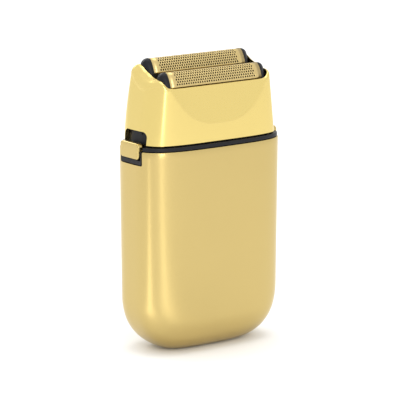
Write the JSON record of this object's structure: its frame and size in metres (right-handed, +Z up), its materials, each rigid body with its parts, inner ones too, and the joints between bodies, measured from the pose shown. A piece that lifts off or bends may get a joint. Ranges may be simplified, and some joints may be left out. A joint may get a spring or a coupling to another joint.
{
  "type": "foil shaver",
  "caption": "Cordless foil shaver: a rounded gold handle with its drive inside, side release buttons and a pull-off head with floating perforated foils.",
  "frame": {"origin": "centre of the flat base on the ground plane", "axes": "+X towards the right side as seen from the front, +Y towards the rear, +Z up; the front faces -Y"},
  "size_m": [0.0654, 0.031, 0.1113],
  "materials": {
    "satin_gold": "satin gold plating",
    "bright_gold": "bright gold plating",
    "foil_gold": "gold-coated perforated sheet",
    "black_plastic": "semi-gloss black",
    "black_rubber": "matt",
    "white_plastic": "matt",
    "steel": "plain",
    "blade_steel": "blackened",
    "green_board": "solder mask",
    "battery_wrap": "heat-shrink wrap",
    "nickel": "nickel plate",
    "red_wire": "wire insulation",
    "lens": "clear"
  },
  "bodies": {
    "handle": {"body_shell": "satin_gold", "top_deck": "black_plastic", "button_frame_left": "black_plastic", "button_frame_right": "black_plastic", "drive_seal": "black_rubber", "deck_screw_1": "steel", "deck_screw_2": "steel", "deck_screw_3": "steel", "deck_screw_4": "steel", "chassis": "black_plastic", "motor_can": "steel", "motor_end_cap": "white_plastic", "motor_lead_red": "red_wire", "motor_lead_black": "black_rubber", "guide_pin_left": "steel", "guide_pin_right": "steel", "battery_cell": "battery_wrap", "battery_tab_negative": "nickel", "battery_tab_positive": "nickel", "circuit_board": "green_board", "board_screw_left": "steel", "board_screw_right": "steel", "slide_switch": "steel", "switch_bezel": "black_plastic", "indicator_lens": "lens", "port_bezel": "black_plastic", "charging_socket": "nickel", "button_spring_left": "steel", "button_spring_right": "steel"},
    "rotor": {"motor_shaft": "steel", "eccentric_cam": "white_plastic"},
    "bridge": {"oscillating_bridge": "white_plastic", "cutter_spring_front": "steel", "cutter_spring_rear": "steel"},
    "cutter_front": {"cutter_front": "blade_steel", "cutter_carrier_front": "black_plastic"},
    "cutter_rear": {"cutter_rear": "blade_steel", "cutter_carrier_rear": "black_plastic"},
    "head": {"head_housing": "bright_gold", "head_inner_frame": "black_plastic", "foil_cassette": "black_plastic", "foil_spring_front_left": "steel", "foil_spring_front_right": "steel", "foil_spring_rear_left": "steel", "foil_spring_rear_right": "steel"},
    "foil_front": {"foil_front": "foil_gold", "foil_carrier_front": "black_plastic"},
    "foil_rear": {"foil_rear": "foil_gold", "foil_carrier_rear": "black_plastic"},
    "release_left": {"release_button_left": "satin_gold"},
    "release_right": {"release_button_right": "satin_gold"},
    "switch": {"power_switch": "satin_gold"}
  },
  "joints": [
    {"name": "rotor_spin", "type": "hinge", "parent": "handle", "child": "rotor", "pos_m": [0, -0.0033, 0.0475], "axis": [0, 0, 1], "continuous": true},
    {"name": "bridge_stroke", "type": "slide", "parent": "handle", "child": "bridge", "axis": [1, 0, 0], "range_m": [-0.0012, 0.0012]},
    {"name": "cutter_front_float", "type": "slide", "parent": "bridge", "child": "cutter_front", "axis": [0, 0, 1], "range_m": [-0.0012, 0], "stiffness_N_per_m": 250, "springref_m": 0.002, "deforming": ["cutter_spring_front"]},
    {"name": "cutter_rear_float", "type": "slide", "parent": "bridge", "child": "cutter_rear", "axis": [0, 0, 1], "range_m": [-0.0012, 0], "stiffness_N_per_m": 250, "springref_m": 0.002, "deforming": ["cutter_spring_rear"]},
    {"name": "head_pull_off", "type": "slide", "parent": "handle", "child": "head", "axis": [0, 0, 1], "range_m": [0, 0.035]},
    {"name": "foil_front_float", "type": "slide", "parent": "head", "child": "foil_front", "axis": [0, 0, 1], "range_m": [-0.0012, 0], "stiffness_N_per_m": 400, "springref_m": 0.0015, "deforming": ["foil_spring_front_left", "foil_spring_front_right"]},
    {"name": "foil_rear_float", "type": "slide", "parent": "head", "child": "foil_rear", "axis": [0, 0, 1], "range_m": [-0.0012, 0], "stiffness_N_per_m": 400, "springref_m": 0.0015, "deforming": ["foil_spring_rear_left", "foil_spring_rear_right"]},
    {"name": "left_release", "type": "slide", "parent": "handle", "child": "release_left", "axis": [1, 0, 0], "range_m": [0, 0.0015], "stiffness_N_per_m": 600, "springref_m": -0.001, "deforming": ["button_spring_left"]},
    {"name": "right_release", "type": "slide", "parent": "handle", "child": "release_right", "axis": [-1, 0, 0], "range_m": [0, 0.0015], "stiffness_N_per_m": 600, "springref_m": -0.001, "deforming": ["button_spring_right"]},
    {"name": "switch_slide", "type": "slide", "parent": "handle", "child": "switch", "axis": [0, 0, 1], "range_m": [0, 0.005]}
  ],
  "couplings": [
    {"joint": "cutter_front_float", "follows": "foil_front_float", "ratio": 1},
    {"joint": "cutter_rear_float", "follows": "foil_rear_float", "ratio": 1}
  ]
}
